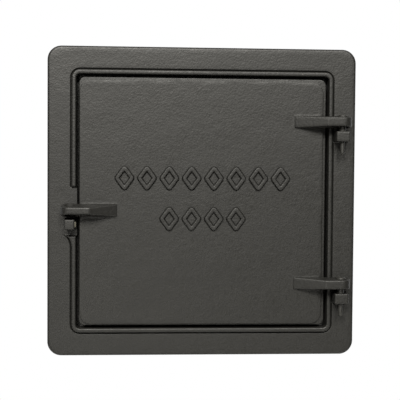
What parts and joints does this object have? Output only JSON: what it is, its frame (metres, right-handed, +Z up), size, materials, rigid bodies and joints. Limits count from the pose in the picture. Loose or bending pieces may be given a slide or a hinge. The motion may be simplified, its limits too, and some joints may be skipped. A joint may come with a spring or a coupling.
{
  "type": "hinged cast iron flue door",
  "caption": "Square cast iron flue door: flanged frame with rear collar, and a leaf on two pinned hinge arms with a latch arm over a keeper lug.",
  "frame": {"origin": "centre of the door opening on the plane of the flange's back face, which bears on the wall", "axes": "+X to the hinge side, +Y back into the wall, +Z up"},
  "size_m": [0.254, 0.054, 0.254],
  "materials": {
    "frame_iron": "satin black paint on sand-cast iron",
    "leaf_iron": "satin black paint on sand-cast iron",
    "pin_steel": "dull painted steel"
  },
  "bodies": {
    "frame": {"door_frame": "frame_iron"},
    "door": {"door_leaf": "leaf_iron", "upper_hinge_pin": "pin_steel", "lower_hinge_pin": "pin_steel"}
  },
  "joints": [
    {"name": "door_swing", "type": "hinge", "parent": "frame", "child": "door", "pos_m": [0.1142, -0.0146, 0], "axis": [0, 0, 1], "range_deg": [0, 170]}
  ]
}
